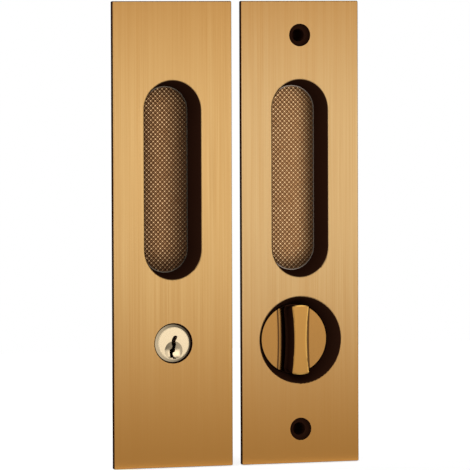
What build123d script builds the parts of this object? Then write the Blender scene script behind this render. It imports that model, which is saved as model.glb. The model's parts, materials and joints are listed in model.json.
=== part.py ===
from build123d import *
import math
import os

# Sliding door lock in two halves: an outside plate with a key cylinder, and an inside plate with a
# thumb-turn. Sizes are in millimetres. Each half is drawn lying on its back, with x to the right,
# y up the plate and z out of the door. The door's face is at z = 0, and the lock axis is a line
# along z. Last, each half is stood up, so that its front looks along -Y and its top along +Z.

# Plates
plate_height = 200.0
plate_width = 54.0
plate_thickness = 2.2
plate_gap = 4.3
plate_corner_radius = 0.6
plate_edge_radius = 0.3

# Pull cups
cup_width = 25.6
cup_length = 85.0
cup_above_centre = 23.4
cup_depth = 10.5
cup_draft = 12.3
cup_wall = 1.8
cup_lip_radius = 0.8
cup_back_radius = 1.2

# Knurled grips on the cup floors
ridge_pitch = 1.45
ridge_height = 0.6
ridge_angle = 45.0
grip_base = 1.2
grip_rim_width = 0.4
grip_rim_rise = 0.1
grip_clearance = 0.1

# Door screws, from the inside plate into the outside plate's posts
screw_spacing = 170.5
screw_hole_diameter = 5.5
screw_head_diameter = 9.8
screw_head_depth = 2.0
screw_boss_diameter = 13.0
screw_boss_length = 3.0
screw_sleeve_diameter = 9.0
screw_sleeve_length = 15.0
post_diameter = 9.0
post_length = 14.0
post_thread_diameter = 4.2
post_thread_depth = 12.0

# Lock axis, shared by the key cylinder and the thumb-turn
lock_below_centre = 46.6

# Thumb-turn and its recess
recess_diameter = 37.5
recess_depth = 8.0
recess_wall = 2.0
recess_lip_radius = 0.6
disc_diameter = 30.4
disc_thickness = 2.0
disc_clearance = 0.3
disc_edge_radius = 0.3
blade_length = 30.6
blade_root_length = 27.4
blade_waist = 5.9
blade_end_width = 8.3
blade_proud = 0.3
blade_corner_radius = 0.9
blade_edge_radius = 0.7
blade_foot_radius = 1.0
stem_diameter = 12.0
bush_wall = 1.0
bush_flange_diameter = 25.0
bush_flange_thickness = 0.8
hub_diameter = 21.0
hub_length = 3.0
turn_washer_diameter = 19.0
turn_washer_thickness = 0.4
turn_washer_height = 1.1
turn_ring_diameter = 17.0
turn_ring_thickness = 1.0
turn_ring_groove = 0.9
ring_opening = 4.0
spindle_width = 6.0
spindle_socket_depth = 9.0
spindle_reach = 36.0
spindle_pin_diameter = 2.5
spindle_pin_edge = 2.8

# Key cylinder
nose_diameter = 16.4
nose_proud = 0.2
nose_bevel_height = 0.7
nose_land = 0.2
nose_clearance = 0.5
housing_length = 21.0
seat_height = 1.5
seat_margin = 1.4
lobe_width = 10.0
lobe_height = 16.0
lobe_corner_radius = 2.0
plug_diameter = 12.6
plug_head_diameter = 13.4
plug_head_thickness = 2.0
dish_diameter = 8.1
dish_below_axis = 3.1
dish_depth = 0.6
pin_count = 5
pin_pitch = 3.2
pin_diameter = 2.6
pin_tip_diameter = 1.0
pin_taper_height = 0.9
first_pin_depth = 6.5
key_cut_heights = (0.7, 1.6, 1.1, 2.0, 0.9)
driver_length = 4.0
spring_turns = 5
spring_facets = 10
spring_wire = 0.35
cap_length = 1.6
plug_ring_diameter = 14.6
plug_ring_thickness = 1.0
plug_ring_groove = 0.7
stub_diameter = 8.6
stub_length = 6.0
tail_width = 6.0
tail_thickness = 2.0
tail_reach = 36.0
tail_slot_depth = 5.0
tail_pin_diameter = 2.0
tail_pin_from_end = 2.6

# Clamp that holds the cylinder to the outside plate
clamp_thickness = 2.0
clamp_margin = 1.0
clamp_post_offset = 14.0
clamp_post_diameter = 7.0
clamp_hole_clearance = 0.4
clamp_screw_diameter = 4.0
clamp_screw_length = 10.0
clamp_screw_head_diameter = 7.4
clamp_screw_head_height = 2.4
clamp_screw_head_bevel = 0.7
clamp_screw_slot_width = 1.0
clamp_screw_slot_depth = 1.2

# Fits
running_clearance = 0.05
axial_play = 0.1
seat_clearance = 0.05
overcut = 1.0

# Keyway outline about the plug's axis, from the top of the blade slot down its left side,
# across the open bottom and back up its right side. The wards are the steps in the two sides.
keyway_left = [(0.1, 3.2), (-0.6, 2.1), (-0.9, 1.2), (-0.8, -0.4), (-0.4, -1.2), (-0.7, -2.1),
               (-1.7, -2.8), (-1.7, -3.8), (-1.4, -7.0)]
keyway_right = [(1.1, -7.0), (1.1, -6.4), (0.2, -5.7), (-0.2, -4.8), (-0.2, -4.1), (0.8, -3.5),
                (0.9, -2.1), (1.2, -0.4), (0.8, 0.9), (1.5, 2.1), (1.7, 3.0), (1.0, 3.4)]

# Levels along z in both halves
front = plate_thickness
grip_thickness = grip_base + ridge_height + grip_rim_rise
grip_top = front - cup_depth
cup_seat = grip_top - grip_thickness
cup_back = cup_seat - cup_wall

# Levels along z of the thumb-turn
disc_face = front - recess_depth
disc_back = disc_face - disc_thickness
bush_front = disc_back - axial_play
recess_seat = bush_front - bush_flange_thickness
recess_back = recess_seat - recess_wall
hub_end = recess_back - hub_length
turn_ring_front = hub_end - turn_washer_height - axial_play
turn_ring_back = turn_ring_front - turn_ring_thickness
spindle_pin_level = turn_ring_back - spindle_pin_edge
stem_end = spindle_pin_level - spindle_pin_edge
socket_end = stem_end + spindle_socket_depth

# Levels along z of the key cylinder
nose_front = front + nose_proud
head_back = nose_front - plug_head_thickness
housing_back = -housing_length
ring_recess_end = housing_back + plug_ring_thickness + 2 * axial_play
clamp_back = housing_back - clamp_thickness
stub_end = clamp_back - stub_length
tail_start = stub_end + tail_slot_depth
tail_pin_level = stub_end + tail_pin_from_end

# Radii and widths that follow from the sizes above
cup_floor_width = cup_width - 2 * cup_depth * math.tan(math.radians(cup_draft))
cup_floor_length = cup_length - cup_width + cup_floor_width
recess_floor_radius = disc_diameter / 2 + disc_clearance
bore_radius = plug_diameter / 2 + running_clearance
chamber_radius = pin_diameter / 2 + running_clearance
key_pin_top = math.sqrt((plug_diameter / 2) ** 2 - (pin_diameter / 2) ** 2) - running_clearance
driver_bottom = bore_radius + running_clearance
cap_bottom = lobe_height - cap_length
plug_groove_radius = plug_diameter / 2 - plug_ring_groove
turn_groove_radius = stem_diameter / 2 - turn_ring_groove
hub_bore_radius = stem_diameter / 2 + running_clearance + bush_wall
pin_levels = [nose_front - first_pin_depth - i * pin_pitch for i in range(pin_count)]

lock_axis = Pos(0, -lock_below_centre, 0)


def turned(points):
    """A solid of revolution about z, from (radius, z) points."""
    return revolve(Plane.XZ * make_face(Polyline(points, close=True)), Axis.Z)


def rod(radius, bottom, top):
    """An upright cylinder between two levels."""
    return extrude(Pos(0, 0, bottom) * Circle(radius), top - bottom)


def stadium(width, length):
    """An upright slot shape with round ends."""
    return SlotOverall(length, width, rotation=90)


def inner_edges(solid, level):
    """The edges within the outline of a solid's flat face at a level, round openings or a raised piece."""
    face = solid.faces().filter_by(Axis.Z).sort_by(lambda flat: abs(flat.center().Z - level))[0]
    return [edge for wire in face.inner_wires() for edge in wire.edges()]


def split_ring(inner_radius, outer_radius, bottom, thickness):
    """A flat retaining ring with a gap in its lower side."""
    ring = rod(outer_radius, bottom, bottom + thickness) - rod(inner_radius, bottom, bottom + thickness)
    gap = Pos(0, -outer_radius, bottom + thickness / 2) * Box(ring_opening, 2 * outer_radius, thickness)
    return ring - gap


def lobe_outline(margin):
    """The cylinder's outline behind the plate, its nose and its pin lobe, grown by a margin."""
    lobe = Rectangle(lobe_width + 2 * margin, lobe_height + margin)
    return Circle(nose_diameter / 2 + margin) + Pos(0, (lobe_height + margin) / 2) * lobe


def plate_with_cup():
    """The cast plate with the shell of its pull cup, the hollow cut and the edges rounded."""
    outline = RectangleRounded(plate_width, plate_height, plate_corner_radius)
    plate = extrude(outline, plate_thickness)
    plate = fillet(plate.faces().sort_by(Axis.Z)[-1].edges(), plate_edge_radius)
    slope = math.tan(math.radians(cup_draft))
    skin = cup_wall / math.cos(math.radians(cup_draft)) - (grip_thickness + cup_wall) * slope
    shell_face = stadium(cup_floor_width + 2 * skin, cup_floor_length + 2 * skin)
    shell = extrude(Pos(0, cup_above_centre, cup_back) * shell_face, front / 2 - cup_back, taper=-cup_draft)
    shell = fillet(shell.faces().sort_by(Axis.Z)[0].edges(), cup_back_radius)
    hollow_face = stadium(cup_floor_width, cup_floor_length)
    hollow = extrude(Pos(0, cup_above_centre, grip_top) * hollow_face, cup_depth + overcut, taper=-cup_draft)
    pocket = extrude(Pos(0, cup_above_centre, cup_seat) * hollow_face, grip_thickness)
    plate = plate + shell - hollow - pocket
    return fillet(inner_edges(plate, front), cup_lip_radius)


def ridge_row(angle):
    """Parallel sharp ridges on a common base, wide enough for the whole grip, turned about z."""
    reach = cup_floor_length + cup_floor_width
    count = math.ceil(reach / ridge_pitch)
    start = -count * ridge_pitch / 2
    crests = [(start + (i + 0.5) * ridge_pitch, ridge_height) for i in range(count)]
    valleys = [(start + i * ridge_pitch, 0) for i in range(count + 1)]
    zigzag = [valleys[0]] + [point for pair in zip(crests, valleys[1:]) for point in pair]
    section = make_face(Polyline([(start, -grip_base)] + zigzag + [(-start, -grip_base)], close=True))
    row = extrude(Plane.XZ * section, reach / 2, both=True)
    return Rot(0, 0, angle) * row


def grip():
    """The knurled floor: two crossing rows of ridges inside a plain raised rim."""
    base_level = cup_seat + grip_base
    outer = stadium(cup_floor_width - 2 * grip_clearance, cup_floor_length - 2 * grip_clearance)
    inner = offset(outer, -grip_rim_width)
    field = extrude(Pos(0, 0, -grip_base) * inner, grip_thickness)
    lattice = (ridge_row(ridge_angle) & field) + (ridge_row(-ridge_angle) & field)
    rim = extrude(Pos(0, 0, -grip_base) * (outer - inner), grip_thickness)
    return Pos(0, cup_above_centre, base_level) * (lattice + rim)


def outside_plate():
    """The outside casting: cup, cylinder seat and hole, posts for the door screws and for the clamp."""
    plate = plate_with_cup()
    post = rod(post_diameter / 2, -post_length, front / 2)
    thread = rod(post_thread_diameter / 2, -post_length, post_thread_depth - post_length)
    for side in (1, -1):
        spot = Pos(0, side * screw_spacing / 2, 0)
        plate = plate + spot * post - spot * thread
    clamp_post = rod(clamp_post_diameter / 2, housing_back, front / 2)
    thread_end = housing_back + clamp_screw_length
    clamp_thread = rod(clamp_screw_diameter / 2 + seat_clearance, housing_back, thread_end)
    for side in (1, -1):
        spot = lock_axis * Pos(side * clamp_post_offset, 0, 0)
        plate = plate + spot * clamp_post - spot * clamp_thread
    seat = extrude(Pos(0, 0, -seat_height) * lobe_outline(seat_margin), seat_height + front / 2)
    nose_hole = rod(nose_diameter / 2 + nose_clearance, -seat_height, front)
    return plate + lock_axis * seat - lock_axis * nose_hole


def inside_plate():
    """The inside casting: cup, conical thumb-turn recess with its hub, and sleeves for the door screws."""
    plate = plate_with_cup()
    slope = (recess_diameter / 2 - recess_floor_radius) / recess_depth
    shell = turned([(0, front / 2), (recess_diameter / 2 + recess_wall, front / 2),
                    (recess_diameter / 2 + recess_wall, 0),
                    (recess_floor_radius + recess_wall, disc_face), (recess_floor_radius + recess_wall, recess_back),
                    (hub_diameter / 2, recess_back), (hub_diameter / 2, hub_end), (0, hub_end)])
    hollow = turned([(0, front + overcut), (recess_diameter / 2 + overcut * slope, front + overcut),
                     (recess_floor_radius, disc_face), (recess_floor_radius, recess_seat), (0, recess_seat)])
    plate = plate + lock_axis * shell
    plate = plate - lock_axis * hollow
    recess_edges = [edge for edge in inner_edges(plate, front) if edge.is_closed]
    plate = fillet(recess_edges, recess_lip_radius)
    plate = plate - lock_axis * rod(hub_bore_radius, hub_end, recess_seat)
    boss = rod(screw_boss_diameter / 2, -screw_boss_length, front / 2)
    sleeve = rod(screw_sleeve_diameter / 2, -screw_sleeve_length, front / 2)
    hole = rod(screw_hole_diameter / 2, -screw_sleeve_length, front)
    head = rod(screw_head_diameter / 2, front - screw_head_depth, front)
    for side in (1, -1):
        spot = Pos(0, side * screw_spacing / 2, 0)
        plate = plate + spot * boss + spot * sleeve - spot * hole - spot * head
    return plate


def thumb_turn():
    """Disc, bow-tie blade and stem in one casting, with a square socket in the stem's end."""
    blade_front = front + blade_proud
    half = blade_length / 2
    right = ThreePointArc((blade_end_width / 2, half), (blade_waist / 2, 0), (blade_end_width / 2, -half))
    left = ThreePointArc((-blade_end_width / 2, -half), (-blade_waist / 2, 0), (-blade_end_width / 2, half))
    bottom = Line(right @ 1, left @ 0)
    top = Line(left @ 1, right @ 0)
    bow_tie = make_face([right, bottom, left, top])
    blade = extrude(Pos(0, 0, disc_face) * bow_tie, blade_front - disc_face)
    ends = turned([(0, disc_face), (blade_root_length / 2, disc_face), (half, blade_front), (0, blade_front)])
    blade = blade & ends
    corners = [edge for edge in blade.edges() if edge.bounding_box().size.Z > recess_depth / 2]
    blade = fillet(corners, blade_corner_radius)
    blade = fillet(blade.faces().sort_by(Axis.Z)[-1].edges(), blade_edge_radius)
    stem_radius = stem_diameter / 2
    disc = turned([(0, disc_face), (disc_diameter / 2, disc_face), (disc_diameter / 2, disc_back),
                   (stem_radius, disc_back), (stem_radius, turn_ring_front), (turn_groove_radius, turn_ring_front),
                   (turn_groove_radius, turn_ring_back), (stem_radius, turn_ring_back), (stem_radius, stem_end),
                   (0, stem_end)])
    rim = disc.faces().sort_by(Axis.Z)[-1].edges()
    disc = fillet(rim, disc_edge_radius)
    socket_width = spindle_width + 2 * seat_clearance
    socket = extrude(Pos(0, 0, stem_end) * Rectangle(socket_width, socket_width), spindle_socket_depth)
    cross_hole = Pos(0, 0, spindle_pin_level) * Rot(0, 90, 0) * Cylinder(
        spindle_pin_diameter / 2 + seat_clearance, stem_diameter + overcut)
    turn = disc + blade
    turn = fillet(inner_edges(turn, disc_face), blade_foot_radius)
    return lock_axis * (turn - socket - cross_hole)


def turn_bush():
    """Flanged plain bearing for the stem, seated in the hub."""
    bore = stem_diameter / 2 + running_clearance
    sleeve = hub_bore_radius - seat_clearance
    flange = bush_flange_diameter / 2
    return lock_axis * turned([(bore, bush_front), (flange, bush_front), (flange, recess_seat),
                               (sleeve, recess_seat), (sleeve, hub_end), (bore, hub_end)])


def turn_washer():
    """Coned spring washer between the hub and the retaining ring."""
    inner = stem_diameter / 2 + running_clearance
    outer = turn_washer_diameter / 2
    low = hub_end - turn_washer_height
    return lock_axis * turned([(outer, hub_end), (inner, low + turn_washer_thickness), (inner, low),
                               (outer, hub_end - turn_washer_thickness)])


def turn_ring():
    """Retaining ring in the stem's groove."""
    inner = turn_groove_radius + seat_clearance
    return lock_axis * split_ring(inner, turn_ring_diameter / 2, turn_ring_back, turn_ring_thickness)


def spindle():
    """Square bar from the thumb-turn to the lock case."""
    bar = extrude(Pos(0, 0, -spindle_reach) * Rectangle(spindle_width, spindle_width), socket_end + spindle_reach)
    cross_hole = Pos(0, 0, spindle_pin_level) * Rot(0, 90, 0) * Cylinder(
        spindle_pin_diameter / 2 + seat_clearance, spindle_width + overcut)
    return lock_axis * (bar - cross_hole)


def spindle_pin():
    """Cross pin through the stem and the spindle."""
    pin = Rot(0, 90, 0) * Cylinder(spindle_pin_diameter / 2, stem_diameter - 2 * seat_clearance)
    return lock_axis * Pos(0, 0, spindle_pin_level) * pin


def cylinder_housing():
    """Bevelled nose through the plate, and the pin lobe behind it."""
    nose = nose_diameter / 2
    bevel_top = plug_head_diameter / 2 + running_clearance
    body = turned([(0, nose_front), (bevel_top + nose_land, nose_front), (nose, nose_front - nose_bevel_height),
                   (nose, housing_back), (0, housing_back)])
    lobe_face = Pos(0, lobe_height / 2, housing_back) * Rectangle(lobe_width, lobe_height)
    lobe = extrude(lobe_face, housing_length - seat_height)
    lobe = fillet(lobe.edges().filter_by(Axis.Z).group_by(Axis.Y)[-1], lobe_corner_radius)
    bore = turned([(0, nose_front), (bevel_top, nose_front), (bevel_top, head_back - axial_play),
                   (bore_radius, head_back - axial_play), (bore_radius, ring_recess_end),
                   (plug_ring_diameter / 2 + axial_play, ring_recess_end),
                   (plug_ring_diameter / 2 + axial_play, housing_back), (0, housing_back)])
    housing = body + lobe - bore
    for level in pin_levels:
        housing = housing - Pos(0, 0, level) * Rot(-90, 0, 0) * rod(chamber_radius, 0, lobe_height)
    return lock_axis * housing


def cylinder_plug():
    """Plug with the warded keyway, the key-guide dish, five pin chambers and a slotted stub."""
    body = plug_diameter / 2
    head = plug_head_diameter / 2
    groove_front = ring_recess_end - axial_play
    groove_back = groove_front - plug_ring_thickness
    stub = stub_diameter / 2
    plug_end = housing_back + axial_play / 2
    plug = turned([(0, nose_front), (head, nose_front), (head, head_back), (body, head_back),
                   (body, groove_front), (plug_groove_radius, groove_front), (plug_groove_radius, groove_back),
                   (body, groove_back), (body, plug_end), (stub, plug_end), (stub, stub_end), (0, stub_end)])
    dish_radius = (dish_diameter ** 2 / 4 + dish_depth ** 2) / (2 * dish_depth)
    dish = Pos(0, -dish_below_axis, nose_front + dish_radius - dish_depth) * Sphere(dish_radius)
    keyway = extrude(Pos(0, 0, pin_levels[-1] - pin_pitch / 2) * make_face(
        Polyline(keyway_left + keyway_right, close=True)), nose_front - pin_levels[-1] + pin_pitch)
    plug = plug - dish - keyway
    for level in pin_levels:
        plug = plug - Pos(0, 0, level) * Rot(-90, 0, 0) * rod(chamber_radius, 0, plug_diameter)
    slot_width = tail_thickness + 2 * seat_clearance
    slot = extrude(Pos(0, 0, stub_end) * Rectangle(slot_width, stub_diameter), tail_slot_depth)
    cross_hole = Pos(0, 0, tail_pin_level) * Rot(0, 90, 0) * Cylinder(
        tail_pin_diameter / 2 + seat_clearance, stub_diameter + overcut)
    return lock_axis * (plug - slot - cross_hole)


def key_pins():
    """Lower pins, each cut to its own length so that all their tops meet the plug's surface."""
    pins = []
    for level, tip in zip(pin_levels, key_cut_heights):
        pin = turned([(0, tip), (pin_tip_diameter / 2, tip), (pin_diameter / 2, tip + pin_taper_height),
                      (pin_diameter / 2, key_pin_top), (0, key_pin_top)])
        pins.append(lock_axis * Pos(0, 0, level) * Rot(-90, 0, 0) * pin)
    return pins


def driver_pins():
    """Upper pins, seated just outside the plug."""
    pin = rod(pin_diameter / 2, driver_bottom, driver_bottom + driver_length)
    return [lock_axis * Pos(0, 0, level) * Rot(-90, 0, 0) * pin for level in pin_levels]


def pin_springs():
    """Coil springs between the upper pins and the chamber caps."""
    bottom = driver_bottom + driver_length + spring_wire
    height = cap_bottom - bottom - spring_wire
    radius = pin_diameter / 2 - spring_wire
    steps = spring_turns * spring_facets
    angles = [2 * math.pi * i / spring_facets for i in range(steps + 1)]
    coil = [(radius * math.cos(a), radius * math.sin(a), height * i / steps) for i, a in enumerate(angles)]
    path = Polyline(coil)
    wire = Plane(origin=path @ 0, z_dir=path % 0) * Rectangle(spring_wire, spring_wire)
    spring = Pos(0, 0, bottom) * sweep(wire, path=path, transition=Transition.RIGHT)
    return [lock_axis * Pos(0, 0, level) * Rot(-90, 0, 0) * spring for level in pin_levels]


def pin_caps():
    """Plugs that close the tops of the pin chambers."""
    cap = rod(pin_diameter / 2, cap_bottom, lobe_height)
    return [lock_axis * Pos(0, 0, level) * Rot(-90, 0, 0) * cap for level in pin_levels]


def plug_ring():
    """Retaining ring in the plug's groove, in the recess at the back of the housing."""
    bottom = ring_recess_end - axial_play - plug_ring_thickness
    return lock_axis * split_ring(plug_groove_radius + seat_clearance, plug_ring_diameter / 2, bottom,
                                  plug_ring_thickness)


def tail_bar():
    """Flat bar from the plug's stub to the lock case."""
    bar = extrude(Pos(0, 0, -tail_reach) * Rectangle(tail_thickness, tail_width), tail_start + tail_reach)
    cross_hole = Pos(0, 0, tail_pin_level) * Rot(0, 90, 0) * Cylinder(
        tail_pin_diameter / 2 + seat_clearance, tail_thickness + overcut)
    return lock_axis * (bar - cross_hole)


def tail_pin():
    """Cross pin through the stub and the tail bar."""
    pin = Rot(0, 90, 0) * Cylinder(tail_pin_diameter / 2, stub_diameter - 2 * seat_clearance)
    return lock_axis * Pos(0, 0, tail_pin_level) * pin


def cylinder_clamp():
    """Flat bracket across the back of the housing, on the two clamp posts."""
    ear = clamp_post_diameter + 2 * clamp_margin
    ears = SlotOverall(2 * clamp_post_offset + ear, ear)
    outline = ears + lobe_outline(0) - Circle(stub_diameter / 2 + clamp_hole_clearance)
    screw_hole = Circle((clamp_screw_diameter + clamp_hole_clearance) / 2)
    for side in (1, -1):
        outline = outline - Pos(side * clamp_post_offset, 0) * screw_hole
    return lock_axis * extrude(Pos(0, 0, clamp_back) * outline, clamp_thickness)


def clamp_screws():
    """Pan-head screws through the clamp into the clamp posts."""
    shank = clamp_screw_diameter / 2
    head = clamp_screw_head_diameter / 2
    head_top = clamp_back - clamp_screw_head_height
    tip = housing_back + clamp_screw_length - axial_play
    bevel = clamp_screw_head_bevel
    screw = turned([(0, tip), (shank, tip), (shank, clamp_back), (head, clamp_back), (head, head_top + bevel),
                    (head - bevel, head_top), (0, head_top)])
    slot = Box(clamp_screw_head_diameter, clamp_screw_slot_width, 2 * clamp_screw_slot_depth)
    screw = screw - Pos(0, 0, head_top) * slot
    return [lock_axis * Pos(side * clamp_post_offset, 0, 0) * screw for side in (1, -1)]


def write_nodes(half, shift):
    """Stands each piece of a half up, moves it along X and writes its file."""
    for name, pieces in half.items():
        solids = [solid for piece in pieces for solid in piece.solids()]
        placed = Pos(shift, 0, 0) * Rot(90, 0, 0) * Compound(children=solids)
        export_step(placed, f"parts/{name}.step")


knurled_grip = grip()

outside_half = {
    "outside_plate": [outside_plate()],
    "outside_grip": [knurled_grip],
    "cylinder_housing": [cylinder_housing()],
    "cylinder_plug": [cylinder_plug()],
    "key_pins": key_pins(),
    "driver_pins": driver_pins(),
    "pin_springs": pin_springs(),
    "pin_caps": pin_caps(),
    "plug_ring": [plug_ring()],
    "tail_bar": [tail_bar()],
    "tail_pin": [tail_pin()],
    "cylinder_clamp": [cylinder_clamp()],
    "clamp_screws": clamp_screws(),
}

inside_half = {
    "inside_plate": [inside_plate()],
    "inside_grip": [knurled_grip],
    "thumb_turn": [thumb_turn()],
    "turn_bush": [turn_bush()],
    "turn_washer": [turn_washer()],
    "turn_ring": [turn_ring()],
    "spindle": [spindle()],
    "spindle_pin": [spindle_pin()],
}

os.makedirs("parts", exist_ok=True)
write_nodes(outside_half, -(plate_width + plate_gap))
write_nodes(inside_half, 0)
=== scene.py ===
# %% [markdown]
# # A sliding door lock in brushed bronze
#
# The lock has two upright plates. The outside plate holds a pull cup and a key cylinder, and the
# inside plate a pull cup, a thumb-turn in a round recess and two screw holes. Their exact solids
# come from the CAD model, so this lesson gives them their finishes, adds one thin ring, and sets up
# the camera, the floor and the light.
# Lengths are in metres. X runs to the right, Y into the door and Z up.

# %% Load the solids
import json
import math

import bmesh
import bpy
from mathutils import Matrix, Vector


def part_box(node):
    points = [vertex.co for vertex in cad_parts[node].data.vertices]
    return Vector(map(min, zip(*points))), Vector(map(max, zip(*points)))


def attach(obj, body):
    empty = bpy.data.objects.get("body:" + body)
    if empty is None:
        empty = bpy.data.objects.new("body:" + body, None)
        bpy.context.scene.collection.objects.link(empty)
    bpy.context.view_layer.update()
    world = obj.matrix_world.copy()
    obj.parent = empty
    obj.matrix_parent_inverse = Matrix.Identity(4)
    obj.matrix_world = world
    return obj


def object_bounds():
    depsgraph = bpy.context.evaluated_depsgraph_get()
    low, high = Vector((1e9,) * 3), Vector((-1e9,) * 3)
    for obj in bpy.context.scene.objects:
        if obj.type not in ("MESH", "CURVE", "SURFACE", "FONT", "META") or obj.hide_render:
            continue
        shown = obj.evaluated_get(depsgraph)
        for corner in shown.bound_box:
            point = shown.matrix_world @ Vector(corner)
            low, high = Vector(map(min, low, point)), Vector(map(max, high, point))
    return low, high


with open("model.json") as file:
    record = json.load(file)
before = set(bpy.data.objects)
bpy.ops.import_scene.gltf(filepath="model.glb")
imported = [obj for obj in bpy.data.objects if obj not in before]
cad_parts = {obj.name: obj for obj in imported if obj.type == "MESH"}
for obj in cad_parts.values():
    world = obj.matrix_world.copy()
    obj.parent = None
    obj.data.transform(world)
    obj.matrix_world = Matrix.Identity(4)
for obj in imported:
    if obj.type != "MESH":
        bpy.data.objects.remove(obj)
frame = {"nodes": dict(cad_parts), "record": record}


def in_mm(length):
    """A length in millimetres, rounded for printing."""
    return round(1000 * length, 2)


solids = frame["nodes"]
cad_low, cad_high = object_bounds()
print("solids:", len(solids), "box in mm:", [in_mm(b - a) for a, b in zip(cad_low, cad_high)])

# %% [markdown]
# ## Where things are
#
# The main places are read from the solids, so the finishes follow if the plates move. The front of the
# plates is a plane of constant Y, and the finishes use it to tell a rubbed, bright face from a dark
# recess. The plates' lowest point is where the floor goes. Smaller sizes are named where they are used.

# %% Read the main places
plate_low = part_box("inside_plate")[0]
front_plane = plate_low.y
foot_level = min(plate_low.z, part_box("outside_plate")[0].z)
lock_middle = Vector(((cad_low.x + cad_high.x) / 2, front_plane, (cad_low.z + cad_high.z) / 2))
print("front plane at", in_mm(front_plane), "mm, foot at", in_mm(foot_level), "mm")

# %% [markdown]
# ## The camera
#
# The picture is square, 470 pixels wide. The camera stands to the left of the lock and a little above
# its middle, and a long lens keeps the upright edges nearly parallel. Its place was found by lining up
# the plates' corners, the cups and the holes, so three angles are clearer here than a tracking target.

# %% Place the camera
image_width = 470
focal_pixels = 4839.8
sensor_width_mm = 36.0
farthest_seen = 20.0
camera_place = Vector((-0.7453, -1.9560, 0.0927))
camera_yaw = math.radians(20.107)
camera_pitch = math.radians(-2.568)
camera_roll = math.radians(-0.194)

lens = bpy.data.cameras.new("camera")
lens.sensor_width = sensor_width_mm
lens.lens = focal_pixels / image_width * sensor_width_mm
lens.clip_end = farthest_seen
camera = bpy.data.objects.new("camera", lens)
bpy.context.scene.collection.objects.link(camera)
aim = Matrix.Rotation(-camera_yaw, 4, "Z") @ Matrix.Rotation(math.pi / 2 + camera_pitch, 4, "X")
camera.matrix_world = Matrix.Translation(camera_place) @ aim @ Matrix.Rotation(camera_roll, 4, "Z")
bpy.context.scene.camera = camera
print("lens", round(lens.lens, 1), "mm at", round((camera_place - lock_middle).length, 2), "m")

# %% [markdown]
# ## Small helpers for node trees
#
# A finish is a material whose nodes feed one Principled shader. Nodes could be placed by hand in the
# editor. The helpers below add a node, join its inputs and set its numbers in one line instead, so that
# each finish reads like a recipe. A Mix node keeps separate sockets for numbers, vectors and colours,
# and the table gives the places of the two that are mixed and of the result.

# %% Helpers for nodes
mix_sockets = {"FLOAT": (2, 3, 0), "VECTOR": (4, 5, 1), "RGBA": (6, 7, 2)}


def new_finish(name):
    """An empty finish: the material, its tree and its Principled shader."""
    material = bpy.data.materials.new(name)
    material.use_nodes = True
    tree = material.node_tree
    return material, tree, tree.nodes["Principled BSDF"]


def join(tree, node, inputs):
    """Links each socket given, and sets each number or colour given."""
    for name, value in inputs.items():
        if isinstance(value, bpy.types.NodeSocket):
            tree.links.new(value, node.inputs[name])
        else:
            node.inputs[name].default_value = value
    return node


def add_node(tree, kind, inputs=None, **settings):
    """A new node with its settings and inputs."""
    node = tree.nodes.new(kind)
    for name, value in settings.items():
        setattr(node, name, value)
    return join(tree, node, inputs or {})


def calculate(tree, operation, first, second=0.0):
    """One step of arithmetic."""
    node = add_node(tree, "ShaderNodeMath", {0: first, 1: second}, operation=operation)
    return node.outputs[0]


def ramp_between(tree, value, start, end):
    """0 at start, 1 at end, smooth between them."""
    inputs = {"Value": value, "From Min": start, "From Max": end}
    return add_node(tree, "ShaderNodeMapRange", inputs, interpolation_type="SMOOTHSTEP").outputs["Result"]


def mix(tree, kind, factor, first, second):
    """Something between two numbers, vectors or colours: the first at a factor of 0, the second at 1."""
    first_socket, second_socket, result = mix_sockets[kind]
    inputs = {0: factor, first_socket: first, second_socket: second}
    return add_node(tree, "ShaderNodeMix", inputs, data_type=kind).outputs[result]


def mix_numbers(tree, factor, first, second):
    """A number between two numbers or sockets."""
    return mix(tree, "FLOAT", factor, first, second)


def mix_colours(tree, factor, first, second):
    """A colour between two colours or colour sockets."""
    ends = [end if isinstance(end, bpy.types.NodeSocket) else (*end, 1.0) for end in (first, second)]
    return mix(tree, "RGBA", factor, *ends)


# %% [markdown]
# ## Where a finish changes
#
# Wear, dirt, painted shade and painted highlights depend on where a spot lies and which way it looks.
# Object coordinates give both without any unwrapping, and they turn with the piece. Noise on the same
# coordinates makes the small unevenness, and a stretched one makes lines. The last helper bends the
# shading of a ridge or edge, so that it shines like a flat face.

# %% Helpers for places, noise and normals
out_of_door = (0.0, -1.0, 0.0)


def object_place(tree):
    """The place on the piece, in Object coordinates."""
    return add_node(tree, "ShaderNodeTexCoord").outputs["Object"]


def split(tree, vector):
    """The X, Y and Z of a vector."""
    parts = add_node(tree, "ShaderNodeSeparateXYZ", {"Vector": vector}).outputs
    return parts["X"], parts["Y"], parts["Z"]


def outward_look(tree):
    """How far the surface looks out of the door: 1 straight out, 0 sideways and -1 into the door."""
    normal = add_node(tree, "ShaderNodeTexCoord").outputs["Normal"]
    into_door = split(tree, normal)[1]
    return calculate(tree, "MULTIPLY", into_door, -1.0)


def stretched_noise(tree, place, scale, detail=3.0):
    """Noise with its own scale along X, Y and Z, in features per metre."""
    mapping = add_node(tree, "ShaderNodeMapping", {"Vector": place, "Scale": scale})
    inputs = {"Vector": mapping.outputs["Vector"], "Scale": 1.0, "Detail": detail}
    return add_node(tree, "ShaderNodeTexNoise", inputs).outputs["Fac"]


def even_noise(tree, place, scale, detail=3.0):
    """Noise with one scale along all three axes, in features per metre."""
    return stretched_noise(tree, place, (scale, scale, scale), detail)


def flattened_normal(tree, amount):
    """The surface's normal, turned to look straight out of the door by the amount given."""
    normal = add_node(tree, "ShaderNodeTexCoord").outputs["Normal"]
    turned = mix(tree, "VECTOR", amount, normal, out_of_door)
    return add_node(tree, "ShaderNodeVectorTransform", {"Vector": turned}, vector_type="NORMAL",
                    convert_from="OBJECT", convert_to="WORLD").outputs["Vector"]
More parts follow.
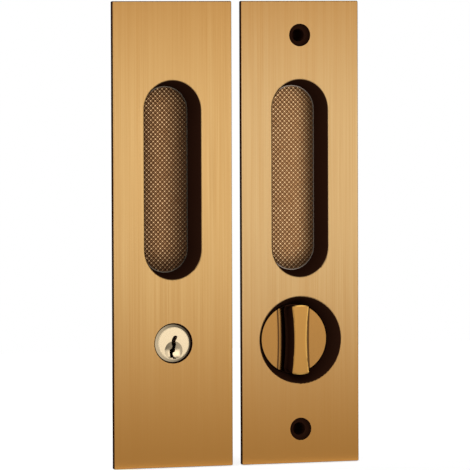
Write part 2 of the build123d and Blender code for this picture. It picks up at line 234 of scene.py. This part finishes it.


# %% [markdown]
# ## The brushed fronts of the plates
#
# Each plate was blackened all over, then brushed up and down on an abrasive belt, which cleans its front
# to bright bronze. The belt's lines could be a painted picture, but noise stretched along Z needs no
# file: a fine set of lines and a wider one, mixed into streaks. The bronze is palest across the middle
# and deepens towards the top and the foot. That deepening is painted shade, added to the lamps' own shading.

# %% Colour the brushed front
deep_bronze = (0.510, 0.236, 0.054)
fine_lines = (2600.0, 400.0, 14.0)
wide_lines = (520.0, 100.0, 3.0)
wide_share = 0.4
streak_range = (0.30, 0.70)
streak_strength = 0.40
# The next two ranges paint shade on the plate: the bronze deepens towards the top and the foot.
top_painted_shade = (0.040, 0.145)
foot_painted_shade = (0.004, -0.110)


def brushed_front(tree, place, fine, pale_bronze):
    """Pale bronze with streaks of deep bronze, and painted shade towards the top and the foot."""
    height = split(tree, place)[2]
    towards_top = ramp_between(tree, height, *top_painted_shade)
    towards_foot = ramp_between(tree, height, *foot_painted_shade)
    plate_shade = calculate(tree, "MAXIMUM", towards_top, towards_foot)
    colour = mix_colours(tree, plate_shade, pale_bronze, deep_bronze)
    lines = mix_numbers(tree, wide_share, fine, stretched_noise(tree, place, wide_lines))
    streak = calculate(tree, "MULTIPLY", ramp_between(tree, lines, *streak_range), streak_strength)
    return mix_colours(tree, streak, colour, deep_bronze)


# %% [markdown]
# ## The walls and the backs of the plates
#
# The belt can't reach into the cups and the recess, so their walls keep the black finish, and so do the
# plates' edges. Faces that look into the door stay as cast: a dull bronze with soft clouds. A second
# material could cover them, but one material that knows which way a face looks leaves no seam.

# %% Colour the walls and the back
dark_bronze = (0.031, 0.011, 0.0058)
cast_bronze = ((0.100, 0.053, 0.026), (0.135, 0.074, 0.037))
cloud_scale = 420.0
cloud_detail = 6.0
cloud_range = (0.20, 0.80)


def unbrushed_faces(tree, place, into_door):
    """Dark bronze on walls and edges, and cloudy cast bronze where a face looks into the door."""
    clouds = ramp_between(tree, even_noise(tree, place, cloud_scale, cloud_detail), *cloud_range)
    return mix_colours(tree, into_door, dark_bronze, mix_colours(tree, clouds, *cast_bronze))


# %% [markdown]
# ## The whole plate finish
#
# A spot is brushed if it looks out of the door and lies near the front plane. That one number mixes the
# bright front with the faces that the belt leaves. The fine lines also go into the gloss and the bump,
# and the highlight is stretched across them, as on real brushed metal. The two castings differ a
# little: the outside one is warmer, so the recipe takes the pale tone as an input.

# %% Make the plate finishes
outside_pale_bronze = (0.650, 0.410, 0.165)
inside_pale_bronze = (0.643, 0.428, 0.196)
lip_depth = 0.0006
brushed_look = (0.78, 0.95)
cast_look = (-0.05, -0.20)
line_bump = 0.12
line_depth = 0.00002
wall_roughness = 0.45
brushed_roughness = (0.32, 0.44)
highlight_stretch = 0.5


def brushed_plate(name, pale_bronze):
    """Bright brushed front, dark walls and a back as it was cast."""
    material, tree, shader = new_finish(name)
    place = object_place(tree)
    depth = split(tree, place)[1]
    outward = outward_look(tree)
    near_front = ramp_between(tree, depth, front_plane + lip_depth, front_plane + lip_depth / 4)
    brushed = calculate(tree, "MULTIPLY", ramp_between(tree, outward, *brushed_look), near_front)
    into_door = ramp_between(tree, outward, *cast_look)
    fine = stretched_noise(tree, place, fine_lines)
    front = brushed_front(tree, place, fine, pale_bronze)
    bump = add_node(tree, "ShaderNodeBump", {"Height": fine, "Strength": line_bump, "Distance": line_depth})
    tangent = add_node(tree, "ShaderNodeTangent", direction_type="RADIAL", axis="Z")
    join(tree, shader, {
        "Base Color": mix_colours(tree, brushed, unbrushed_faces(tree, place, into_door), front),
        "Metallic": calculate(tree, "MAXIMUM", brushed, into_door),
        "Specular IOR Level": 0.0,
        "Roughness": mix_numbers(tree, brushed, wall_roughness, mix_numbers(tree, fine, *brushed_roughness)),
        "Anisotropic": highlight_stretch,
        "Tangent": tangent.outputs["Tangent"],
        "Normal": bump.outputs["Normal"],
    })
    return material


outside_plate_bronze = brushed_plate("outside_plate_bronze", outside_pale_bronze)
inside_plate_bronze = brushed_plate("inside_plate_bronze", inside_pale_bronze)
print("plate finish:", len(inside_plate_bronze.node_tree.nodes), "nodes")

# %% [markdown]
# ## The ridges of the knurled grips
#
# The cup floors are a lattice of sharp ridges that cross at right angles. Fingers and the polishing
# wheel keep the crossings bright, in patches. Thin lines along the ridges are less bright, the flanks
# are brown, and the pit bottoms a little lighter again. How deep a spot lies below the crests tells
# line, flank and pit apart. The crossings need the two diagonals, folded back and forth over half the
# pitch. The meshes already have the ridges, so this only colours them.

# %% Colour the ridges
ridge_pitch = 0.00145
crossing_band = (0.22 * ridge_pitch, 0.44 * ridge_pitch)
line_depths = (0.00003, 0.00016)
pit_depths = (0.00034, 0.00050)
wear_scale = 260.0
wear_range = (0.20, 0.60)


def ridge_crossings(tree, x, z, middle):
    """1 where two ridges cross, 0 away from there. A valley of each row runs through the middle."""
    right = calculate(tree, "SUBTRACT", x, middle.x)
    up = calculate(tree, "SUBTRACT", z, middle.z)
    near_crest = []
    for direction in ("ADD", "SUBTRACT"):
        diagonal = calculate(tree, "MULTIPLY", calculate(tree, direction, right, up), math.sqrt(0.5))
        from_valley = calculate(tree, "PINGPONG", diagonal, ridge_pitch / 2)
        near_crest.append(ramp_between(tree, from_valley, *crossing_band))
    return calculate(tree, "MULTIPLY", *near_crest)


def ridge_colour(tree, place, below_line, in_pit, crossing, crest_bronze, line_bronze, flank_bronze):
    """Bright worn crossings, thin ridge lines, brown flanks and lighter pits."""
    wear = ramp_between(tree, even_noise(tree, place, wear_scale), *wear_range)
    colour = mix_colours(tree, below_line, line_bronze, flank_bronze)
    colour = mix_colours(tree, in_pit, colour, line_bronze)
    return mix_colours(tree, calculate(tree, "MULTIPLY", crossing, wear), colour, crest_bronze)


# %% [markdown]
# ## The whole grip finish
#
# The ridges get darker with their distance from a line along the floor's middle, moved a little to the
# left and up. Near the walls this is dark patina, plus painted shade of the walls that is deepest under
# the right wall and at the lower end. The floor is a slot with round ends, and the distance follows them.
# Crests and pits are shaded as if they were flat, and the crests are glossier. The plain rim stands in
# front of the crests and is dull.

# %% Make the grip finishes
rim_rise = 0.0001
rim_depths = (-0.00002, -0.00006)
# The next values shift the painted shade near the walls to the left and up, and set how dark it gets.
lean = 0.0025
lift = 0.0020
shaded_share = 0.22
flank_roughness = 0.55
crest_roughness = 0.34


def from_slot_line(tree, x, z, middle, half_run):
    """How far a place lies from the line along the middle of a slot with round ends."""
    across = calculate(tree, "SUBTRACT", x, middle.x)
    along = calculate(tree, "ABSOLUTE", calculate(tree, "SUBTRACT", z, middle.z))
    past_end = calculate(tree, "MAXIMUM", calculate(tree, "SUBTRACT", along, half_run), 0.0)
    squares = [calculate(tree, "MULTIPLY", side, side) for side in (across, past_end)]
    return calculate(tree, "SQRT", calculate(tree, "ADD", *squares))


def knurled_grip(name, node, crest_bronze, line_bronze, flank_bronze, rim_bronze, shade_reach):
    """Coloured ridges, with painted shade towards the walls, and a dull rim."""
    material, tree, shader = new_finish(name)
    place = object_place(tree)
    x, y, z = split(tree, place)
    low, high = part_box(node)
    middle = (low + high) / 2
    half_width = (high.x - low.x) / 2
    half_run = (high.z - low.z) / 2 - half_width
    depth = calculate(tree, "SUBTRACT", y, low.y + rim_rise)
    below_line = ramp_between(tree, depth, *line_depths)
    in_pit = ramp_between(tree, depth, *pit_depths)
    on_rim = ramp_between(tree, depth, *rim_depths)
    crossing = ridge_crossings(tree, x, z, middle)
    colour = ridge_colour(tree, place, below_line, in_pit, crossing, crest_bronze, line_bronze, flank_bronze)
    # The ridges darken towards the walls: painted shade, deepest under the right wall and at the lower end.
    from_line = from_slot_line(tree, x, z, middle + Vector((-lean, 0, lift)), half_run)
    unshaded = ramp_between(tree, from_line, half_width + lean, half_width - shade_reach)
    colour = mix_colours(tree, mix_numbers(tree, unshaded, shaded_share, 1.0), dark_bronze, colour)
    on_crest = calculate(tree, "MAXIMUM", calculate(tree, "SUBTRACT", 1.0, below_line), crossing)
    flat = calculate(tree, "MAXIMUM", on_crest, in_pit)
    join(tree, shader, {
        "Base Color": mix_colours(tree, on_rim, colour, rim_bronze),
        "Metallic": 1.0,
        "Roughness": mix_numbers(tree, on_crest, flank_roughness, crest_roughness),
        "Normal": flattened_normal(tree, flat),
    })
    print(name, "slot in mm:", in_mm(2 * half_width), "by", in_mm(2 * (half_width + half_run)))
    return material


# The outside grip is darker and shaded further from its walls than the inside one: the two finishes are a
# shaded and a lit copy of one bronze.
outside_grip_bronze = knurled_grip(
    "outside_grip_bronze", "outside_grip", crest_bronze=(1.00, 0.68, 0.37), line_bronze=(0.46, 0.240, 0.102),
    flank_bronze=(0.26, 0.116, 0.045), rim_bronze=(0.10, 0.08, 0.06), shade_reach=0.0108)
inside_grip_bronze = knurled_grip(
    "inside_grip_bronze", "inside_grip", crest_bronze=(1.00, 0.71, 0.39), line_bronze=(0.61, 0.330, 0.144),
    flank_bronze=(0.40, 0.195, 0.076), rim_bronze=(0.24, 0.19, 0.15), shade_reach=0.0060)

# %% [markdown]
# ## The disc and the blade of the thumb-turn
#
# The turning disc and its blade are one casting. The disc is satin bronze, with painted shade at its
# top and bottom under the recess's walls, at the blade's foot, and along a thin line on each side of the
# blade, where the blade's shade and mirrored image fall. That line bows with the blade and lies a little
# nearer to it on the right. The rim of the blade's front has a painted highlight, partly wear, narrower
# on the left. The blade's outline is close to a parabola on each side, so a square gives it without a
# picture.

# %% Colour the disc and the blade
disc_bronze = (0.372, 0.182, 0.048)
# The ranges below put painted shade on the disc: along a line on each side of the blade, at the disc's top
# and bottom, and at the blade's foot.
line_place_right = 0.0066
line_place_left = 0.0072
line_bow = 2.6
line_edge = (0.0006, 0.00015)
line_darkness = 0.85
wall_shade_edge = (0.0131, 0.0134)
foot_shade_edge = (0.0070, 0.0055)
half_waist = 0.00295
blade_bow = 5.1
rim_width = 0.0010
left_rim_shift = 0.0007


def bowed(tree, upward, bow):
    """An offset that grows with the square of the height, so that a straight line bows."""
    return calculate(tree, "MULTIPLY", calculate(tree, "MULTIPLY", upward, upward), bow)


def disc_colour(tree, across, upward, on_left):
    """Satin bronze, with painted shade at its top and bottom, at the blade's foot and along the two lines.
    """
    line_middle = mix_numbers(tree, on_left, line_place_right, line_place_left)
    line_middle = calculate(tree, "ADD", bowed(tree, upward, line_bow), line_middle)
    from_line = calculate(tree, "ABSOLUTE", calculate(tree, "SUBTRACT", across, line_middle))
    line = calculate(tree, "MULTIPLY", ramp_between(tree, from_line, *line_edge), line_darkness)
    # Painted shade at the disc's top and bottom and at the blade's foot.
    under_wall_shade = ramp_between(tree, calculate(tree, "ABSOLUTE", upward), *wall_shade_edge)
    foot_shade = ramp_between(tree, across, *foot_shade_edge)
    dull = calculate(tree, "MAXIMUM", line, calculate(tree, "MAXIMUM", under_wall_shade, foot_shade))
    return mix_colours(tree, dull, disc_bronze, dark_bronze)


def blade_rim(tree, across, upward, on_left, half_height):
    """1 along the outline of the blade's front and 0 inside it, with a narrower band on the left."""
    half_blade = calculate(tree, "ADD", bowed(tree, upward, blade_bow), half_waist)
    from_side = calculate(tree, "SUBTRACT", half_blade, across)
    from_side = calculate(tree, "ADD", from_side, calculate(tree, "MULTIPLY", on_left, left_rim_shift))
    from_end = calculate(tree, "SUBTRACT", half_height, calculate(tree, "ABSOLUTE", upward))
    from_outline = calculate(tree, "MINIMUM", from_side, from_end)
    return ramp_between(tree, from_outline, rim_width, rim_width / 4)


# %% [markdown]
# ## The whole thumb-turn finish
#
# How far a spot lies behind the front plane tells the disc from the blade. Faces that look out of the
# door are satin, the disc glossier than the blade, and the blade's sides keep the dark finish. A fine
# upright grain runs over both, and the rim's painted highlight is shaded like the flat front beside it.

# %% Make the thumb-turn finish
blade_bronze = (0.540, 0.272, 0.067)
# This colour paints a highlight on the rim of the blade's front; it is partly wear.
rim_highlight_bronze = (0.900, 0.520, 0.130)
grain_dimming = 0.92
grain_bronze = tuple(grain_dimming * part for part in dark_bronze)
grain_lines = (700.0, 700.0, 60.0)
grain_share = 0.12
disc_start = 0.004
disc_depth = 0.007
blade_look = (0.50, 0.75)
disc_look = (0.985, 0.999)
blade_roughness = 0.32
disc_roughness = 0.14


def satin_turn():
    """Satin front faces, dark sides."""
    material, tree, shader = new_finish("turn_bronze")
    place = object_place(tree)
    x, y, z = split(tree, place)
    low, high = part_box("thumb_turn")
    right = calculate(tree, "SUBTRACT", x, (low.x + high.x) / 2)
    upward = calculate(tree, "SUBTRACT", z, (low.z + high.z) / 2)
    across = calculate(tree, "ABSOLUTE", right)
    on_left = ramp_between(tree, right, rim_width, -rim_width)
    on_disc = ramp_between(tree, y, front_plane + disc_start, front_plane + disc_depth)
    outward = outward_look(tree)
    blade_facing = ramp_between(tree, outward, *blade_look)
    disc_facing = ramp_between(tree, outward, *disc_look)
    facing = mix_numbers(tree, on_disc, blade_facing, disc_facing)
    rim = blade_rim(tree, across, upward, on_left, (high.z - low.z) / 2)
    # The rim of the blade's front gets the painted highlight.
    blade = mix_colours(tree, rim, blade_bronze, rim_highlight_bronze)
    face = mix_colours(tree, on_disc, blade, disc_colour(tree, across, upward, on_left))
    grain = stretched_noise(tree, place, grain_lines)
    face = mix_colours(tree, grain_share, face, mix_colours(tree, grain, grain_bronze, face))
    flat_rim = calculate(tree, "MULTIPLY", calculate(tree, "SUBTRACT", facing, on_disc), rim)
    join(tree, shader, {
        "Base Color": mix_colours(tree, facing, dark_bronze, face),
        "Metallic": facing,
        "Specular IOR Level": 0.0,
        "Roughness": mix_numbers(tree, on_disc, blade_roughness, disc_roughness),
        "Normal": flattened_normal(tree, flat_rim),
    })
    return material


turn_bronze = satin_turn()
print("thumb-turn finish:", len(turn_bronze.node_tree.nodes), "nodes")

# %% [markdown]
# ## The key cylinder
#
# The cylinder and its plug are brass, turned on a lathe and polished. Little light gets into the plate's
# hole and the keyway, so the faces that look sideways near the front are dark there. A plain brass would
# mirror the room on them, and the keyway would lose its outline.

# %% Make the cylinder brass
bright_brass = ((0.685, 0.542, 0.348), (0.730, 0.582, 0.372))
shaded_brass = (0.05, 0.022, 0.010)
brass_clouds = 400.0
sideways_look = (0.45, 0.20)
shade_end = 0.012
shade_start = 0.008
brass_roughness = (0.12, 0.20)


def polished_brass():
    """Bright turned brass, dark on the sides in the plate's hole and in the keyway."""
    material, tree, shader = new_finish("cylinder_brass")
    place = object_place(tree)
    depth = split(tree, place)[1]
    cloud = even_noise(tree, place, brass_clouds)
    sideways = ramp_between(tree, calculate(tree, "ABSOLUTE", outward_look(tree)), *sideways_look)
    near_front = ramp_between(tree, depth, front_plane + shade_end, front_plane + shade_start)
    shaded = calculate(tree, "MULTIPLY", sideways, near_front)
    join(tree, shader, {
        "Base Color": mix_colours(tree, shaded, mix_colours(tree, cloud, *bright_brass), shaded_brass),
        "Metallic": 1.0,
        "Roughness": mix_numbers(tree, cloud, *brass_roughness),
    })
    return material


cylinder_brass = polished_brass()
print("cylinder finish:", len(cylinder_brass.node_tree.nodes), "nodes")

# %% [markdown]
# ## The hidden metal and the bush
#
# The pins are brass, the springs and rings dark spring steel, and the bars, the clamp and its screws
# plated steel. One small recipe serves all three, with a little unevenness in colour and gloss. The bush
# is moulded nylon, which is no metal, so it has a recipe of its own with a fine bump.

# %% Make the plain finishes
gloss_spread = 0.08
nylon_tones = ((0.70, 0.69, 0.64), (0.82, 0.81, 0.76))
nylon_grain = 3000.0
nylon_bump = 0.2
nylon_grain_depth = 0.00002
nylon_roughness = 0.5


def plain_metal(name, colour, roughness, variation, scale):
    """A metal with a little unevenness in its colour and gloss."""
    material, tree, shader = new_finish(name)
    cloud = even_noise(tree, object_place(tree), scale)
    darker = tuple((1 - variation) * part for part in colour)
    join(tree, shader, {
        "Base Color": mix_colours(tree, cloud, darker, colour),
        "Metallic": 1.0,
        "Roughness": mix_numbers(tree, cloud, roughness, roughness + gloss_spread),
    })
    return material


def moulded_nylon():
    """Milky plastic with a fine mould texture."""
    material, tree, shader = new_finish("bush_nylon")
    grain = even_noise(tree, object_place(tree), nylon_grain)
    bump = add_node(tree, "ShaderNodeBump",
                    {"Height": grain, "Strength": nylon_bump, "Distance": nylon_grain_depth})
    join(tree, shader, {
        "Base Color": mix_colours(tree, grain, *nylon_tones),
        "Roughness": nylon_roughness,
        "Normal": bump.outputs["Normal"],
    })
    return material


pin_brass = plain_metal("pin_brass", (0.86, 0.58, 0.36), roughness=0.22, variation=0.20, scale=500.0)
spring_steel = plain_metal("spring_steel", (0.22, 0.22, 0.23), roughness=0.35, variation=0.25, scale=600.0)
plated_steel = plain_metal("plated_steel", (0.60, 0.60, 0.58), roughness=0.28, variation=0.18, scale=500.0)
bush_nylon = moulded_nylon()
print("plain finishes:", [finish.name for finish in (pin_brass, spring_steel, plated_steel, bush_nylon)])

# %% [markdown]
# ## Give each solid its finish
#
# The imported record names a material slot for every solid, so a loop can hand out the finishes. The plates
# and the grips differ from half to half, and the pins from the cylinder, so these go by the solid's own
# name. Only the material slots change: the meshes stay as the CAD model made them.

# %% Hand out the finishes
slot_finishes = {
    "turn_bronze": turn_bronze, "cylinder_brass": cylinder_brass, "spring_steel": spring_steel,
    "plated_steel": plated_steel, "bush_nylon": bush_nylon,
}
own_finishes = {
    "outside_plate": outside_plate_bronze, "inside_plate": inside_plate_bronze,
    "outside_grip": outside_grip_bronze, "inside_grip": inside_grip_bronze,
    "key_pins": pin_brass, "driver_pins": pin_brass,
}
for part in frame["record"]["subparts"]:
    solid = solids[part["node"]]
    solid.data.materials.clear()
    solid.data.materials.append(own_finishes.get(part["node"]) or slot_finishes[part["material_slot"]])

# %% [markdown]
# ## A dark ring in the cylinder's gap
#
# The nose of the cylinder sits in the plate's hole with a narrow gap all round. A thin dark ring fills
# it a little below the front, to stand in for the shade in the gap, so no light comes through from the
# back. The ring is a small circle spun about the lock's axis, squeezed a trifle to be fuller than the gap.

# %% Spin the dark ring
gap_middle_radius = 0.00845
ring_half_thickness = 0.00026
ring_depth = 0.0016
ring_steps = 72
ring_sides = 12

joints = {joint["name"]: joint for joint in frame["record"]["behaviour"]["joints"]}
key_axis = Vector(joints["key_rotation"]["axis"])
ring_middle = Vector(joints["key_rotation"]["pos_m"])
ring_middle.y = front_plane + ring_depth

# This dark ring stands in for the shade in the cylinder's gap.
ring_mesh = bmesh.new()
bmesh.ops.create_circle(ring_mesh, segments=ring_sides, radius=ring_half_thickness)
bmesh.ops.translate(ring_mesh, vec=ring_middle + Vector((gap_middle_radius, 0, 0)), verts=ring_mesh.verts)
bmesh.ops.spin(ring_mesh, geom=ring_mesh.verts[:] + ring_mesh.edges[:], cent=ring_middle, axis=key_axis,
               angle=2 * math.pi, steps=ring_steps, use_merge=True)
bmesh.ops.recalc_face_normals(ring_mesh, faces=ring_mesh.faces)
for face in ring_mesh.faces:
    face.smooth = True
ring_data = bpy.data.meshes.new("shade_ring")
ring_mesh.to_mesh(ring_data)
ring_mesh.free()
shade_ring = bpy.data.objects.new("shade_ring", ring_data)
bpy.context.scene.collection.objects.link(shade_ring)
ring_data.materials.append(outside_plate_bronze)
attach(shade_ring, "plates")
print("dust ring:", len(ring_data.polygons), "faces")

# %% [markdown]
# ## The floor
#
# A pale floor carries the plates. White paint alone would come out grey under these lamps, so the floor
# adds a little glow to its own colour. It then reads white and still keeps a soft shadow. The glow is
# there for the camera and for mirrored rays only, so it doesn't light the plates' dull faces.

# %% Build the floor
floor_width = 1.6
floor_front = -0.010
floor_back = 0.70
floor_gap = 0.0004
half_metre = 0.5
floor_grey = (0.85, 0.85, 0.85, 1.0)
floor_glow = 0.70
white = (1.0, 1.0, 1.0, 1.0)

floor_mesh = bmesh.new()
bmesh.ops.create_grid(floor_mesh, x_segments=1, y_segments=1, size=half_metre)
bmesh.ops.scale(floor_mesh, vec=(floor_width, floor_back - floor_front, 1), verts=floor_mesh.verts)
floor_middle = Vector((lock_middle.x, (floor_front + floor_back) / 2, foot_level - floor_gap))
bmesh.ops.translate(floor_mesh, vec=floor_middle, verts=floor_mesh.verts)
floor_data = bpy.data.meshes.new("studio_floor")
floor_mesh.to_mesh(floor_data)
floor_mesh.free()
studio_floor = bpy.data.objects.new("studio_floor", floor_data)
bpy.context.scene.collection.objects.link(studio_floor)

floor_paint, tree, default_shader = new_finish("floor_paint")
tree.nodes.remove(default_shader)
paint = add_node(tree, "ShaderNodeBsdfDiffuse", {"Color": floor_grey})
rays = add_node(tree, "ShaderNodeLightPath").outputs
seen = calculate(tree, "MAXIMUM", rays["Is Camera Ray"], rays["Is Glossy Ray"])
seen = calculate(tree, "MAXIMUM", seen, rays["Is Transmission Ray"])
glow_strength = calculate(tree, "MULTIPLY", seen, floor_glow)
glow = add_node(tree, "ShaderNodeEmission", {"Color": white, "Strength": glow_strength})
both = add_node(tree, "ShaderNodeAddShader", {0: paint.outputs[0], 1: glow.outputs[0]})
join(tree, tree.nodes["Material Output"], {"Surface": both.outputs[0]})
floor_data.materials.append(floor_paint)
print("floor", floor_width, "by", round(floor_back - floor_front, 2), "m")

# %% [markdown]
# ## The room
#
# Polished metal shows whatever stands round it, so the room matters as much as the lamps. To the camera
# it is white. Everything else meets a grey that is lighter to the left and a little darker towards the
# top. Only mirrored rays that run on into the depth of the picture meet white again.

# %% Paint the room
room_grey = 0.50
grey_to_left = 0.40
grey_to_top = -0.10
white_depth = (0.35, 0.75)

world = bpy.data.worlds.new("studio_room")
bpy.context.scene.world = world
world.use_nodes = True
tree = world.node_tree
rays = add_node(tree, "ShaderNodeLightPath").outputs
x, y, z = split(tree, add_node(tree, "ShaderNodeTexCoord").outputs["Generated"])
sideways = calculate(tree, "MULTIPLY", x, -grey_to_left)
upward = calculate(tree, "MULTIPLY", z, grey_to_top)
grey = calculate(tree, "ADD", calculate(tree, "ADD", sideways, upward), room_grey)
mirrored = calculate(tree, "MAXIMUM", rays["Is Glossy Ray"], rays["Is Transmission Ray"])
mirrored = calculate(tree, "MULTIPLY", mirrored, ramp_between(tree, y, *white_depth))
seen_white = calculate(tree, "MAXIMUM", mirrored, rays["Is Camera Ray"])
join(tree, tree.nodes["Background"], {"Color": white, "Strength": mix_numbers(tree, seen_white, grey, 1.0)})
print("room:", len(tree.nodes), "nodes")

# %% [markdown]
# ## The lamps
#
# Two lamps stand in front of the lock, to the right of the plates: a wide one that the flat plates
# mirror, so its height sets where the bronze shines, and a dimmer strip below it. A narrow upright lamp
# stands further to the right. The fourth hangs high on the left and throws the soft shadow. Brightness
# is given as radiance, so a lamp keeps its look in a mirror when its size changes.

# %% Hang the lamps
def softbox(name, place, target, width, height, radiance):
    """A rectangular lamp that faces a target, with its brightness given as radiance."""
    lamp = bpy.data.lights.new(name, "AREA")
    lamp.shape = "RECTANGLE"
    lamp.size = width
    lamp.size_y = height
    lamp.energy = radiance * math.pi * width * height
    holder = bpy.data.objects.new(name, lamp)
    bpy.context.scene.collection.objects.link(holder)
    look = (Vector(target) - Vector(place)).to_track_quat("-Z", "Y")
    holder.matrix_world = Matrix.Translation(place) @ look.to_matrix().to_4x4()


softbox("mirror_lamp", place=(0.14, -0.62, 0.038), target=(0.0, 0.0, 0.038),
        width=0.50, height=0.194, radiance=1.36)
softbox("lower_lamp", place=(0.14, -0.62, -0.090), target=(0.0, 0.0, -0.090),
        width=0.50, height=0.08, radiance=0.95)
softbox("right_lamp", place=(0.53, -0.59, 0.10), target=(0.0, 0.0, 0.0),
        width=0.20, height=0.5, radiance=0.8)
softbox("top_lamp", place=(-0.5, -0.35, 0.9), target=(-0.03, 0.0, 0.0),
        width=0.8, height=0.4, radiance=1.4)

# %% [markdown]
# ## Last steps
#
# Colours should come out as they were chosen, so the view transform is Standard.

# %% Finish
bpy.context.scene.view_settings.view_transform = "Standard"
